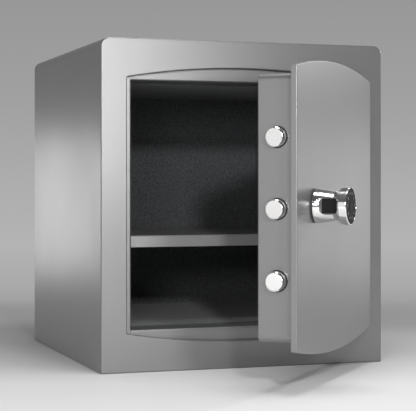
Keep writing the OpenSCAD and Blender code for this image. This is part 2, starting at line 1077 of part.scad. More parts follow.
module spindle() {
    color("gray")
        on_spindle()
            translate([0, 0, -crank_y - crank_t - 2])
                difference() {
                    cylinder(h = crank_y + crank_t + 2 + neck_w[0] + 11, r = spindle_r);
                    translate([0, 0, -1])
                        cylinder(h = crank_y + crank_t + neck_w[0] + 15, r = spindle_bore);
                }
}

// Disc on the spindle that carries the crank's pin
module crank_disc() {
    color("darkgray")
        on_spindle()
            difference() {
                translate([0, 0, -crank_y - crank_t])
                    cylinder(h = crank_t, r = crank_r + crank_pin_r + 2);
                translate([0, 0, -crank_y - crank_t - 1])
                    cylinder(h = crank_t + 2, r = spindle_r + 0.02);
            }
}

// Pin that drives the bolt bar through the slot of its lug
module crank_pin() {
    reach = crank_r / sqrt(2);
    tip = lug_y + lug_plate_t + 0.5;
    color("silver")
        on_spindle()
            translate([reach, reach, -tip])
                cylinder(h = tip - crank_y - crank_t, r = crank_pin_r);
}

module crank_circlip() {
    color("gray")
        on_spindle()
            translate([0, 0, -crank_y - crank_t - 1.2])
                difference() {
                    cylinder(h = 1.2, r = spindle_r + 2);
                    translate([0, 0, -1])
                        cylinder(h = 4, r = spindle_r + 0.02);
                }
}

outer_shell();
back_panel();
front_fascia();
rebate_frame();
strike_jamb();
inner_liner();
fire_fill();
felt_back();
felt_sides();
felt_floor();
felt_ceiling();
shelf_pegs();
strike_sockets();
anchor_sleeves();
upper_hinge_bracket();
lower_hinge_bracket();
upper_hinge_pin();
lower_hinge_pin();
hinge_washers();
shelf();
door_plate();
door_casing();
door_back_cover();
cover_screws();
door_insulation();
hard_plate();
door_seal();
upper_hinge_arm();
lower_hinge_arm();
arm_screws();
dog_bolts();
bolt_bushes();
bolt_guides();
lock_case();
lock_screws();
spindle_bush();
knob_rose();
lock_cable();
upper_bolt();
middle_bolt();
lower_bolt();
bolt_bar();
drive_lug();
lock_tail();
bolt_screws();
lock_bolt();
knob_neck();
knob_drum();
keypad_face();
knob_badge();
keypad_board();
coin_cells();
spindle();
crank_disc();
crank_pin();
crank_circlip();
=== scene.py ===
"""The looks of the home safe: painted sheet steel, felt lining, chrome bolts and a round keypad knob."""

import json
from math import atan2, cos, pi, radians, sin, sqrt

import bmesh
import bpy
from mathutils import Matrix, Vector, noise


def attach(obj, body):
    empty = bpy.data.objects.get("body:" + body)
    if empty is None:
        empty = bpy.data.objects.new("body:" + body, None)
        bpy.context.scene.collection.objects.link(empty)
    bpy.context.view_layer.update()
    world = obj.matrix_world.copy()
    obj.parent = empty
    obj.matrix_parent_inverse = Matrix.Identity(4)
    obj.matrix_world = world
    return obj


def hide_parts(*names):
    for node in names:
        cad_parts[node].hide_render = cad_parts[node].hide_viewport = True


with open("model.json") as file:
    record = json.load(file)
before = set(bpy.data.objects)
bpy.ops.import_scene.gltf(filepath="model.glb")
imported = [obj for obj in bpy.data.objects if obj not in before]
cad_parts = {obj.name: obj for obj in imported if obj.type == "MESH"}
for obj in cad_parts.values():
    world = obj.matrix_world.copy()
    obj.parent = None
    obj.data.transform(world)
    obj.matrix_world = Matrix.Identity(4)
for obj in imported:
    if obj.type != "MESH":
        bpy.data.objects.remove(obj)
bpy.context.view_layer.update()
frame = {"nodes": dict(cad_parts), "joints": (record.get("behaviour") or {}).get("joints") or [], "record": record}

MM = 0.001
scene = bpy.context.scene
joints = {joint["name"]: joint for joint in frame["joints"]}


# ---- Places, all taken from the frame ----

def turn(axis, degrees):
    return Matrix.Rotation(radians(degrees), 4, axis)


def swung():
    """From the closed door's place to where the door stands open."""
    pivot = Matrix.Translation(joints["door_swing"]["pos_m"])
    out = joints["knob_turn"]["axis"]
    return pivot @ Matrix.Rotation(atan2(out[0], -out[1]), 4, "Z") @ pivot.inverted()


def on_knob():
    """Round the knob's axis: +Z out of the open door's face, +Y up."""
    place = Matrix.Translation(joints["knob_turn"]["pos_m"])
    return place @ DOOR.to_3x3().to_4x4() @ turn("X", 90)


def corners(points):
    """Lowest and highest corner of some points."""
    low = Vector([min(p[i] for p in points) for i in range(3)])
    high = Vector([max(p[i] for p in points) for i in range(3)])
    return low, high


def box(node, place=Matrix(), only=None):
    """Lowest and highest corner of a CAD node in a place's own axes, or of the points that only picks."""
    back = place.inverted()
    points = [back @ vertex.co for vertex in frame["nodes"][node].data.vertices]
    return corners([p for p in points if only is None or only(p)])


DOOR = swung()
KNOB = on_knob()
CABINET = Matrix()
fascia_low, fascia_high = box("front_fascia")
shell_low, shell_high = box("outer_shell")
SHEET = shell_low.y - fascia_low.y
FRONT = fascia_low.y
MIDDLE = (fascia_low.z + fascia_high.z) / 2
TINY = 0.05 * MM
TOUCH = 0.01 * MM
BRACKETS = ("upper_hinge_bracket", "lower_hinge_bracket")
ARMS = ("upper_hinge_arm", "lower_hinge_arm")
BOLTS = {"upper_bolt": "upper_chrome_bolt", "middle_bolt": "middle_chrome_bolt",
         "lower_bolt": "lower_chrome_bolt"}


# ---- Outlines, as functions that give their points grown outwards by a distance ----

ARC_STEPS = 6
SPAN_STEPS = 24
EDGE_STEPS = 4
SHARPEST = 0.2 * MM


def round_corner(a, corner, b):
    """Points of an arc from a to b, round a corner near 90 degrees."""
    pull = sqrt(0.5)
    points = []
    for step in range(ARC_STEPS + 1):
        t = step / ARC_STEPS
        weights = ((1 - t) ** 2, 2 * t * (1 - t) * pull, t ** 2)
        total = sum(weights)
        points.append(tuple(sum(w * p[i] for w, p in zip(weights, (a, corner, b))) / total
                            for i in range(2)))
    return points


def outline(left, right, low, high, top_r, low_r, arch=None):
    """A box of rounded corners in X and Z. Its top and bottom bow outwards with the radius arch."""
    def points(grow=0):
        x0, x1 = left - grow, right + grow
        top_round = max(top_r + grow, SHARPEST)
        low_round = max(low_r + grow, SHARPEST)

        def top(x):
            return high + grow if arch is None else high - arch + sqrt((arch + grow) ** 2 - x * x)

        def bottom(x):
            return low - grow if arch is None else low + arch - sqrt((arch + grow) ** 2 - x * x)

        def span(start, end, edge):
            steps = [start + (end - start) * k / SPAN_STEPS for k in range(1, SPAN_STEPS)]
            return [(x, edge(x)) for x in steps]

        return (span(x0 + low_round, x1 - low_round, bottom)
                + round_corner((x1 - low_round, bottom(x1 - low_round)), (x1, bottom(x1)),
                               (x1, bottom(x1) + low_round))
                + round_corner((x1, top(x1) - top_round), (x1, top(x1)),
                               (x1 - top_round, top(x1 - top_round)))
                + span(x1 - top_round, x0 + top_round, top)
                + round_corner((x0 + top_round, top(x0 + top_round)), (x0, top(x0)),
                               (x0, top(x0) - top_round))
                + round_corner((x0, bottom(x0) + low_round), (x0, bottom(x0)),
                               (x0 + low_round, bottom(x0 + low_round))))
    return points


def across(points, y):
    """An outline's ring of points at one depth Y."""
    return [(x, y, z) for x, z in points]


def at_height(points, z):
    """An outline's ring of points lying flat at one height Z."""
    return [(x, y, z) for x, y in points]


def edge_round(radius):
    """(inset, depth) of a rounded edge, from a body's side to its face."""
    angles = [pi / 2 * k / EDGE_STEPS for k in range(EDGE_STEPS + 1)]
    return [(radius * (1 - cos(a)), radius * (1 - sin(a))) for a in angles]


def arch_radius(node, only):
    """Radius of the arched edge of a node's flat outline, from its crown and its corners."""
    low, high = box(node, only=only)
    corner = box(node, only=lambda p: only(p) and p.x < low.x + TINY)[1].z
    rise = high.z - corner
    return (low.x ** 2 + rise ** 2) / (2 * rise)


def at_flange_end(p):
    """Picks the points of the fascia's flange where it ends, behind the opening."""
    return p.y > fascia_high.y - TINY


FLANGE = box("front_fascia", only=at_flange_end)
ARCH = arch_radius("front_fascia", at_flange_end) - SHEET
OPENING = (FLANGE[0].x + SHEET, FLANGE[1].x - SHEET, FLANGE[0].z + SHEET, FLANGE[1].z - SHEET)


# ---- Meshes ----

def add(name, mesh, place=CABINET):
    """A new object in the scene, with its mesh moved to its place."""
    mesh.transform(place)
    piece = bpy.data.objects.new(name, mesh)
    scene.collection.objects.link(piece)
    return piece


def smooth(piece, sharp=32):
    """Smooth shading that keeps flat faces flat and breaks at sharp edges."""
    mesh = piece.data
    work = bmesh.new()
    work.from_mesh(mesh)
    bmesh.ops.remove_doubles(work, verts=work.verts, dist=1e-6)
    bmesh.ops.recalc_face_normals(work, faces=work.faces)
    work.to_mesh(mesh)
    work.free()
    mesh.polygons.foreach_set("use_smooth", [True] * len(mesh.polygons))
    mesh.set_sharp_from_angle(angle=radians(sharp))
    weighted = piece.modifiers.new("normals", "WEIGHTED_NORMAL")
    weighted.keep_sharp = True
    weighted.weight = 80
    return piece


def loft(name, rings, place=CABINET, closed=False):
    """A solid through rings of points, capped at both ends, or closed from the last ring to the first."""
    count = len(rings[0])
    points = [point for ring in rings for point in ring]
    faces = []
    for i in range(len(rings) if closed else len(rings) - 1):
        a, b = i * count, (i + 1) % len(rings) * count
        for k in range(count):
            after = (k + 1) % count
            faces.append((a + k, a + after, b + after, b + k))
    if not closed:
        faces.append(tuple(range(count)))
        faces.append(tuple(range(len(points) - count, len(points))))
    mesh = bpy.data.meshes.new(name)
    mesh.from_pydata(points, [], faces)
    return smooth(add(name, mesh, place))


def softened(profile):
    """A (radius, height, rounding) profile as (radius, height) points with its corners rounded."""
    points = []
    for i, (r, h, rounding) in enumerate(profile):
        if rounding == 0:
            points.append((r, h))
            continue
        corner = Vector((r, h))
        ends = [Vector(profile[j][:2]) for j in (i - 1, i + 1)]
        cut = [corner + (end - corner).normalized() * rounding for end in ends]
        points += round_corner(tuple(cut[0]), (r, h), tuple(cut[1]))
    return points


def revolve(name, profile, place, steps=72):
    """A solid turned round its own Z axis, from a profile that ends on the axis or closes a ring."""
    points = softened(profile)
    angles = [2 * pi * k / steps for k in range(steps)]
    rings = [[(r * cos(a), r * sin(a), h) for a in angles] for r, h in points]
    hollow = profile[0][0] > 0 and profile[-1][0] > 0
    return loft(name, rings, place, closed=hollow)


def slab(name, shape, y0, y1, front_r, back_r, place=CABINET):
    """A plate of an outline, from depth y0 to y1, with rounded edges at its front and back."""
    rings = [across(shape(-i), y0 + d) for i, d in reversed(edge_round(front_r))]
    rings += [across(shape(-i), y1 - d) for i, d in edge_round(back_r)]
    return loft(name, rings, place)


def joined(name, pieces):
    """Several pieces as one object."""
    work = bmesh.new()
    for piece in pieces:
        work.from_mesh(piece.data)
        bpy.data.objects.remove(piece)
    mesh = bpy.data.meshes.new(name)
    work.to_mesh(mesh)
    work.free()
    return smooth(add(name, mesh))


def cut(piece, cutters, sharp=32):
    """Takes the cutters out of a piece."""
    for cutter in cutters:
        change = piece.modifiers.new("cut", "BOOLEAN")
        change.object = cutter
        change.solver = "EXACT"
        bpy.context.view_layer.update()
        seen = piece.evaluated_get(bpy.context.evaluated_depsgraph_get())
        mesh = bpy.data.meshes.new_from_object(seen)
        piece.modifiers.clear()
        piece.data = mesh
        bpy.data.objects.remove(cutter)
    return smooth(piece, sharp)


def rod(radius, low, high, place, steps=48):
    """A plain rod on a place's Z axis, to cut with or for a screw's shank."""
    profile = [(0, low, 0), (radius, low, 0), (radius, high, 0), (0, high, 0)]
    return revolve("cutter", profile, place, steps)


def brick(low, high, place=CABINET):
    """A plain box, only ever used to cut with."""
    shape = outline(low[0], high[0], low[2], high[2], 0, 0)
    return loft("cutter", [across(shape(0), low[1]), across(shape(0), high[1])], place)


# ---- Materials ----

def map_range(tree, value, start, end, low, high):
    """A node that maps start to end onto low to high."""
    made = tree.nodes.new("ShaderNodeMapRange")
    tree.links.new(value, made.inputs["Value"])
    for socket, number in (("From Min", start), ("From Max", end), ("To Min", low), ("To Max", high)):
        made.inputs[socket].default_value = number
    return made.outputs["Result"]


class Paint:
    """A material under construction, with short calls for its nodes."""

    def __init__(self, name, colour, rough, metallic=0.0, **fixed):
        self.material = bpy.data.materials.new(name)
        self.material.use_nodes = True
        self.tree = self.material.node_tree
        self.shader = self.tree.nodes["Principled BSDF"]
        self.shader.inputs["Base Color"].default_value = (*colour, 1)
        self.shader.inputs["Roughness"].default_value = rough
        self.shader.inputs["Metallic"].default_value = metallic
        for socket, value in fixed.items():
            self.shader.inputs[socket.replace("_", " ")].default_value = value
        self.place = self.tree.nodes.new("ShaderNodeTexCoord").outputs["Object"]
        self.relief = None

    def add(self, kind, links=(), **values):
        made = self.tree.nodes.new("ShaderNode" + kind)
        for socket, source in links:
            self.tree.links.new(source, made.inputs[socket])
        for socket, value in values.items():
            made.inputs[socket.replace("_", " ")].default_value = value
        return made

    def stretched(self, x, y, z):
        return self.add("Mapping", [("Vector", self.place)], Scale=(x, y, z)).outputs["Vector"]

    def noise(self, scale, detail=3.0, where=None):
        made = self.add("TexNoise", [("Vector", where or self.place)], Scale=scale, Detail=detail)
        return made.outputs["Fac"]

    def cells(self, scale, where=None):
        made = self.add("TexVoronoi", [("Vector", where or self.place)], Scale=scale)
        return made.outputs["Distance"]

    def between(self, fac, low, high, start=0.3, end=0.7):
        """Maps a pattern's start to low and its end to high."""
        return map_range(self.tree, fac, start, end, low, high)

    def tint(self, fac, dark, light, start=0.3, end=0.7):
        """The base colour runs from dark to light with a pattern."""
        mix = self.add("Mix", [("Factor", self.between(fac, 0, 1, start, end))])
        mix.data_type = "RGBA"
        colours = [socket for socket in mix.inputs if socket.type == "RGBA"]
        for socket, colour in zip(colours, (dark, light)):
            socket.default_value = (*colour, 1)
        mixed = next(socket for socket in mix.outputs if socket.type == "RGBA")
        self.tree.links.new(mixed, self.shader.inputs["Base Color"])

    def gloss(self, fac, low, high):
        """The roughness runs from low to high with a pattern."""
        self.tree.links.new(self.between(fac, low, high), self.shader.inputs["Roughness"])

    def bump(self, fac, depth, strength=1.0):
        """Adds relief of a depth in metres."""
        links = [("Height", fac)]
        if self.relief is not None:
            links.append(("Normal", self.relief))
        made = self.add("Bump", links, Distance=depth, Strength=strength)
        self.relief = made.outputs["Normal"]
        self.tree.links.new(self.relief, self.shader.inputs["Normal"])


def grey(value, warmth=0.0):
    """A grey, or with a warmth that isn't 0, a reddish or bluish one."""
    return (value * (1 + warmth), value, value * (1 - warmth))


def powder_coat(name, tone, rough, metallic):
    """Satin powder coat: fine flake, orange peel and a slow drift in gloss."""
    paint = Paint(name, grey(tone), rough, metallic)
    paint.tint(paint.noise(2000, 3), grey(tone * 0.89), grey(tone * 1.11))
    paint.gloss(paint.noise(9, 3), rough - 0.01, rough + 0.015)
    paint.bump(paint.noise(620, 2), 0.05 * MM, 0.25)
    paint.bump(paint.noise(45, 1), 0.10 * MM, 0.15)
    return paint.material


def felt():
    """Needle felt: matted fibres of several greys, with a soft nap."""
    paint = Paint("felt_nap", grey(0.10, -0.05), 0.95, 0, Sheen_Weight=0.12, Sheen_Roughness=0.6,
                  Specular_IOR_Level=0.15)
    fibres = paint.noise(850, 8, paint.stretched(1, 0.45, 1.4))
    paint.tint(fibres, grey(0.045, -0.05), grey(0.20, -0.03), 0.34, 0.68)
    paint.bump(fibres, 0.5 * MM, 0.7)
    paint.bump(paint.noise(90, 4), 0.6 * MM, 0.5)
    return paint.material


def chrome(name, tone, rough):
    """Polished chrome with faint haze and smudges."""
    paint = Paint(name, grey(tone, 0.01), rough, 1.0)
    paint.gloss(paint.noise(70, 4), rough * 0.7, rough * 1.6)
    paint.tint(paint.noise(30, 3), grey(tone * 0.96, 0.012), grey(tone, 0.0))
    paint.bump(paint.noise(900, 2), 0.01 * MM, 0.12)
    return paint.material


def zinc():
    """Bright zinc plate with a faint bluish and yellowish clouding."""
    paint = Paint("zinc_plate", (0.56, 0.57, 0.58), 0.32, 1.0)
    paint.tint(paint.noise(160, 4), (0.50, 0.52, 0.56), (0.64, 0.63, 0.59))
    paint.gloss(paint.noise(420, 3), 0.24, 0.42)
    paint.bump(paint.noise(1500, 2), 0.01 * MM, 0.3)
    return paint.material


def dark_steel():
    """Dark phosphated steel with an oily, crystalline grain."""
    paint = Paint("phosphated_steel", grey(0.10), 0.45, 0.85)
    paint.tint(paint.cells(1400), grey(0.055, -0.03), grey(0.17, 0.02), 0.1, 0.7)
    paint.gloss(paint.noise(120, 4), 0.34, 0.58)
    paint.bump(paint.noise(1300, 4), 0.03 * MM, 0.5)
    return paint.material


def yellow_metal(name, dark, light, rough):
    """Bronze or brass, dulled unevenly, with fine machining lines."""
    paint = Paint(name, light, rough, 1.0)
    paint.tint(paint.noise(110, 5), dark, light)
    lines = paint.noise(240, 3, paint.stretched(0.2, 0.2, 14))
    paint.gloss(lines, rough - 0.08, rough + 0.1)
    paint.bump(lines, 0.01 * MM, 0.5)
    return paint.material


def rubber():
    """Matt black rubber, slightly uneven."""
    paint = Paint("seal_rubber_skin", grey(0.022), 0.7)
    paint.tint(paint.noise(300, 5), grey(0.016), grey(0.034, 0.02))
    paint.gloss(paint.noise(60, 3), 0.6, 0.82)
    paint.bump(paint.noise(1100, 3), 0.04 * MM, 0.4)
    return paint.material


def moulded(name, tone, rough, grain, shine=0.5):
    """Black moulding with a spark-eroded grain."""
    paint = Paint(name, grey(tone), rough, Specular_IOR_Level=shine)
    paint.tint(paint.noise(500, 4), grey(tone * 0.8), grey(tone * 1.3))
    paint.gloss(paint.noise(80, 3), rough - 0.05, rough + 0.07)
    paint.bump(paint.cells(grain), 0.03 * MM, 0.35)
    return paint.material


def cast_filling():
    """Cast fire-resistant filling: chalky, with pores and pale grit."""
    paint = Paint("cast_filling", grey(0.55, 0.03), 0.95)
    paint.tint(paint.noise(260, 8), (0.42, 0.40, 0.36), (0.68, 0.66, 0.62))
    paint.bump(paint.cells(380), 0.6 * MM, 0.5)
    paint.bump(paint.noise(90, 6), 1.2 * MM, 0.5)
    return paint.material


def circuit_board():
    """Green solder mask over a faint pattern of copper."""
    paint = Paint("solder_mask", (0.02, 0.16, 0.06), 0.35)
    tracks = paint.cells(320, paint.stretched(1, 1, 0.4))
    paint.tint(tracks, (0.012, 0.10, 0.035), (0.05, 0.26, 0.09), 0.2, 0.5)
    paint.gloss(paint.noise(200, 2), 0.28, 0.45)
    paint.bump(tracks, 0.04 * MM, 0.4)
    return paint.material


def print_white():
    """Pale keypad print, very slightly uneven."""
    paint = Paint("pale_print", grey(0.62), 0.5)
    paint.tint(paint.noise(1500, 3), grey(0.52), grey(0.68))
    paint.bump(paint.noise(2500, 2), 0.01 * MM, 0.3)
    return paint.material


SLOTS = {
    "silver_paint": powder_coat("silver_powder_coat", 0.27, 0.38, 0.75),
    "shelf_paint": powder_coat("shelf_powder_coat", 0.36, 0.45, 0.45),
    "dark_paint": powder_coat("charcoal_powder_coat", 0.035, 0.5, 0.1),
    "felt": felt(),
    "bolt_chrome": chrome("bolt_polish", 0.86, 0.13),
    "knob_chrome": chrome("knob_polish", 0.84, 0.09),
    "zinc_steel": zinc(),
    "hinge_steel": dark_steel(),
    "bronze": yellow_metal("bearing_bronze", (0.42, 0.24, 0.09), (0.62, 0.42, 0.20), 0.36),
    "lock_metal": yellow_metal("zinc_chromate", (0.46, 0.34, 0.14), (0.64, 0.52, 0.28), 0.42),
    "seal_rubber": rubber(),
    "black_plastic": moulded("black_moulding", 0.02, 0.5, 1800),
    "keypad_black": moulded("keypad_membrane", 0.010, 0.6, 2600, 0.12),
    "board_green": circuit_board(),
    "fire_fill": cast_filling(),
}
PRINT = print_white()


# ---- Fitting pieces to the frame ----

def dress(piece, body, slot, *nodes, material=None):
    """Gives a new piece its body, finish and the CAD nodes that it stands for."""
    piece.data.materials.clear()
    piece.data.materials.append(material or SLOTS[slot])
    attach(piece, body)
    if nodes:
        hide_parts(*nodes)
    return piece


def dress_frame_nodes():
    """Every CAD node that is still shown gets its slot's procedural material."""
    for part in frame["record"]["subparts"]:
        node = frame["nodes"][part["node"]]
        material = SLOTS[part["material_slot"]]
        if not node.material_slots:
            node.data.materials.append(material)
        for held in node.material_slots:
            held.material = material


def soften_node(name, width):
    """Rounds the sharp edges of a CAD node with modifiers, which leave its mesh alone."""
    node = frame["nodes"][name]
    node.modifiers.new("weld", "WELD").merge_threshold = TOUCH
    flat = node.modifiers.new("flat", "DECIMATE")
    flat.decimate_type = "DISSOLVE"
    flat.angle_limit = radians(1)
    edge = node.modifiers.new("edges", "BEVEL")
    edge.width = width
    edge.segments = 3
    edge.limit_method = "ANGLE"
    edge.angle_limit = radians(40)
    edge.use_clamp_overlap = True
    edge.harden_normals = True


# ---- Cabinet ----

EDGE_R = 1.6 * MM
TOP_R = 12 * MM
LIP_R = 1.5 * MM
PLAY = 1.0 * MM
BOLT_PLAY = 1.5 * MM


def cabinet_shape():
    """Outline of the cabinet's front, with its two rounded top corners."""
    low, high = fascia_low, fascia_high
    return outline(low.x, high.x, low.z, high.z, TOP_R, 1.0 * MM)


def opening_shape():
    """Outline of the arched opening in the fascia."""
    return outline(*OPENING, 1.2 * MM, 1.2 * MM, ARCH)


def clear_opening():
    """Left, right, low and high edge of the rectangular way in behind the recess."""
    low, high = box("strike_jamb")
    return high.x, -high.x, low.z, high.z


def make_fascia():
    """Front plate with rounded outer edges and a lip that turns back round the arched opening."""
    outer, inner = cabinet_shape(), opening_shape()
    back = fascia_high.y
    rings = [across(outer(-i), FRONT + d) for i, d in edge_round(EDGE_R)]
    rings += [across(inner(i), FRONT + d) for i, d in reversed(edge_round(LIP_R))]
    rings += [across(inner(0), back), across(inner(SHEET), back), across(inner(SHEET), FRONT + SHEET)]
    rings.append(across(outer(0), FRONT + SHEET))
    piece = loft("fascia", rings, closed=True)
    cutters = []
    for bracket in BRACKETS:
        low, high = box(bracket)
        cutters.append(brick((OPENING[1] - PLAY, FRONT + SHEET, low.z - PLAY),
                             (OPENING[1] + SHEET + 2 * PLAY, back + PLAY, high.z + PLAY)))
    return dress(cut(piece, cutters), "cabinet", "silver_paint", "front_fascia")


def anchor_cutters():
    """Rods through the anchor holes of the base and the back, as the record's mounts place them."""
    rods = []
    for mount in frame["record"]["mounts"]:
        if mount["kind"] != "bolt_pattern":
            continue
        at, dims = Vector(mount["pos_m"]), mount["dims"]
        span_x = dims["spacing_x_mm"] * MM / 2
        span_y = dims.get("spacing_y_mm", 0) * MM / 2
        tilt = CABINET if abs(mount["axis"][2]) > 0.5 else turn("X", 90)
        for x in (-span_x, span_x):
            for y in sorted({-span_y, span_y}):
                place = Matrix.Translation(at + Vector((x, y, 0))) @ tilt
                rods.append(rod(dims["hole_r_mm"] * MM, -2 * SHEET, 2 * SHEET, place))
    return rods


def make_shell():
    """Wrapper of one sheet: sides, top and base, with its back edge rounded over."""
    shape = cabinet_shape()
    back = shell_high.y
    rings = [across(shape(0), shell_low.y)]
    rings += [across(shape(-i), back - d) for i, d in edge_round(1.0 * MM)]
    rings += [across(shape(-SHEET), back), across(shape(-SHEET), shell_low.y)]
    piece = cut(loft("shell", rings, closed=True), anchor_cutters())
    return dress(piece, "cabinet", "silver_paint", "outer_shell")


def make_back():
    """Back panel set inside the wrapper, with its own softened edges."""
    low, high = box("back_panel")
    shape = outline(low.x, high.x, low.z, high.z, TOP_R - SHEET, 0.5 * MM)
    piece = slab("rear_panel", shape, low.y, high.y, 0.2 * MM, 0.7 * MM)
    return dress(cut(piece, anchor_cutters()), "cabinet", "silver_paint", "back_panel")


def make_door_frame():
    """Rebate face and the return behind it, bent from one sheet, with bolt holes and hinge slots."""
    low, high = box("rebate_frame")
    outer = outline(low.x, high.x, low.z, high.z, TOP_R - SHEET, 0.5 * MM)
    inner = outline(*clear_opening(), 0.6 * MM, 0.6 * MM)
    bend = 2.0 * MM
    rings = [across(outer(0), low.y + SHEET), across(outer(0), low.y)]
    rings += [across(inner(i), low.y + d) for i, d in reversed(edge_round(bend))]
    rings += [across(inner(0), high.y), across(inner(SHEET), high.y), across(inner(SHEET), low.y + SHEET)]
    piece = loft("door_frame", rings, closed=True)
    piece = cut(piece, bolt_holes() + hinge_slots(low.y - SHEET) + dog_slots())
    return dress(piece, "cabinet", "silver_paint", "rebate_frame", "strike_jamb")


def bolt_holes():
    """Rods through the door frame's latch side, where the moving bolts enter it."""
    rods = []
    for bolt in BOLTS:
        low, high = box(bolt, DOOR)
        centre = (low + high) / 2
        place = Matrix.Translation((clear_opening()[0], centre.y, centre.z)) @ turn("Y", 90)
        rods.append(rod((high.z - low.z) / 2 + BOLT_PLAY, -2 * SHEET, SHEET, place))
    return rods


def hinge_slots(front):
    """Slots in the door frame that the hinge arms pass through."""
    depth = 46 * MM
    slots = []
    for bracket in BRACKETS:
        low, high = box(bracket)
        slots.append(brick((clear_opening()[1] - SHEET, front, low.z - PLAY),
                           (high.x, FRONT + depth, high.z + PLAY)))
    return slots


def dog_slots():
    """Slots in the door frame's hinge side that the fixed bolts swing into."""
    swing, behind = 9 * MM, 2 * MM
    side = clear_opening()[1]
    slots = []
    for low, high in sorted(islands("dog_bolts", DOOR), key=lambda corner: corner[0].z):
        slots.append(brick((side - SHEET, low.y - swing, low.z - BOLT_PLAY),
                           (side + 2 * SHEET, high.y + behind, high.z + BOLT_PLAY)))
    return slots


def gridded_slab(low, high, thick):
    """A box with soft edges, cut into a grid along the two axes other than thick."""
    grid = 9 * MM
    size, centre = high - low, (low + high) / 2
    work = bmesh.new()
    bmesh.ops.create_cube(work, size=1)
    shape = Matrix.Translation(centre) @ Matrix.Diagonal((*size, 1))
    bmesh.ops.transform(work, matrix=shape, verts=work.verts)
    bmesh.ops.bevel(work, geom=work.edges[:], offset=0.5 * MM, segments=2, affect="EDGES")
    for axis in (i for i in range(3) if i != thick):
        steps = int(size[axis] / grid)
        normal = Vector([1.0 if i == axis else 0.0 for i in range(3)])
        for k in range(1, steps):
            point = low.copy()
            point[axis] += size[axis] * k / steps
            bmesh.ops.bisect_plane(work, geom=work.verts[:] + work.edges[:] + work.faces[:],
                                   plane_co=point, plane_no=normal)
    return work


def felt_sheet(name, node, inward, only=None):
    """A glued sheet of felt with a slightly uneven face. Inward is the face's sign along its normal."""
    deepest, patch = 0.25 * MM, 26 * MM
    low, high = box(node, only=only)
    size = high - low
    thick = min(range(3), key=lambda i: size[i])
    work = gridded_slab(low, high, thick)
    face = high[thick] if inward > 0 else low[thick]
    for vertex in work.verts:
        if abs(vertex.co[thick] - face) < TOUCH:
            sink = deepest * (0.5 + 0.5 * noise.noise(vertex.co / patch))
            vertex.co[thick] -= inward * sink
    mesh = bpy.data.meshes.new(name)
    work.to_mesh(mesh)
    work.free()
    piece = dress(smooth(add(name, mesh), 50), "cabinet", "felt", node)


def make_lining():
    """Felt glued to the liner: back, both sides, floor and ceiling."""
    felt_sheet("back_felt", "felt_back", -1)
    felt_sheet("floor_felt", "felt_floor", 1)
    felt_sheet("ceiling_felt", "felt_ceiling", -1)
    felt_sheet("left_felt", "felt_sides", 1, only=lambda p: p.x < 0)
    felt_sheet("right_felt", "felt_sides", -1, only=lambda p: p.x > 0)


def make_shelf():
    """Folded tray shelf: a flat top, bent down on all four sides with a visible bend radius."""
    low, high = box("shelf")
    sheet, bend = 1.5 * MM, 2.2 * MM
    shape = outline(low.x, high.x, low.y, high.y, 1.2 * MM, 1.2 * MM)
    rings = [at_height(shape(-sheet), high.z - sheet), at_height(shape(-sheet), low.z)]
    rings.append(at_height(shape(0), low.z))
    rings += [at_height(shape(-i), high.z - d) for i, d in edge_round(bend)]
    return dress(loft("tray_shelf", rings), "shelf", "shelf_paint", "shelf")


# ---- Door ----

def make_door_plate():
    """Thick arched door plate with an eased front edge."""
    low, high = box("door_plate", DOOR)
    shape = outline(low.x, high.x, low.z, high.z, 1.6 * MM, 1.6 * MM, ARCH)
    plate = slab("front_plate", shape, low.y, high.y, 1.2 * MM, 0.6 * MM, DOOR)
    spindle_hole = 8 * MM
    hole = rod(spindle_hole, -2 * SHEET - (high.y - low.y), 2 * SHEET, KNOB)
    return dress(cut(plate, [hole]), "door", "silver_paint", "door_plate")


def casing_shape():
    """Outline of the casing behind the door plate."""
    low, high = box("door_casing", DOOR)
    return outline(low.x, high.x, low.z, high.z, 8 * MM, 8 * MM)


def make_back_cover():
    """Cover of the boltwork, with a rolled edge that carries on the casing's corners."""
    low, high = box("door_back_cover", DOOR)
    piece = slab("boltwork_cover", casing_shape(), low.y, high.y, 0.1 * MM, 1.7 * MM, DOOR)
    return dress(piece, "door", "silver_paint", "door_back_cover")


def make_seal():
    """Fire seal round the casing with a rounded lip."""
    low, high = box("door_seal", DOOR)
    shape = casing_shape()
    inner, outer = MM, shape_gap("door_seal", "door_casing")
    round_r = 1.4 * MM
    rings = [across(shape(inner), low.y), across(shape(outer), low.y)]
    rings += [across(shape(outer - i), high.y - d) for i, d in edge_round(round_r)]
    rings += [across(shape(inner + i), high.y - d) for i, d in reversed(edge_round(round_r))]
    return dress(loft("fire_seal", rings, DOOR, closed=True), "door", "seal_rubber", "door_seal")


def shape_gap(outer, inner):
    """How far one door node stands out past another, upwards."""
    return box(outer, DOOR)[1].z - box(inner, DOOR)[1].z


def screw_head(radius, height, place):
    """Domed head with a hexagon socket."""
    profile = [(0, 0, 0), (radius, 0, 0), (radius, height * 0.45, 0), (radius * 0.8, height * 0.85, 0),
               (radius * 0.4, height, 0), (0, height, 0)]
    head = revolve("head", profile, place, 40)
    socket = revolve("cutter", [(0, height * 0.3, 0), (radius * 0.48, height * 0.3, 0),
                                (radius * 0.48, 2 * height, 0), (0, 2 * height, 0)], place, 6)
    return cut(head, [socket])


def islands(node, place):
    """Lowest and highest corner of each separate solid of a node, in a place's own axes."""
    work = bmesh.new()
    work.from_mesh(frame["nodes"][node].data)
    bmesh.ops.remove_doubles(work, verts=work.verts, dist=1e-6)
    back, seen, found = place.inverted(), set(), []
    for start in work.verts:
        if start in seen:
            continue
        stack, points = [start], []
        seen.add(start)
        while stack:
            vertex = stack.pop()
            points.append(back @ vertex.co)
            for edge in vertex.link_edges:
                other = edge.other_vert(vertex)
                if other not in seen:
                    seen.add(other)
                    stack.append(other)
        found.append(corners(points))
    work.free()
    return found


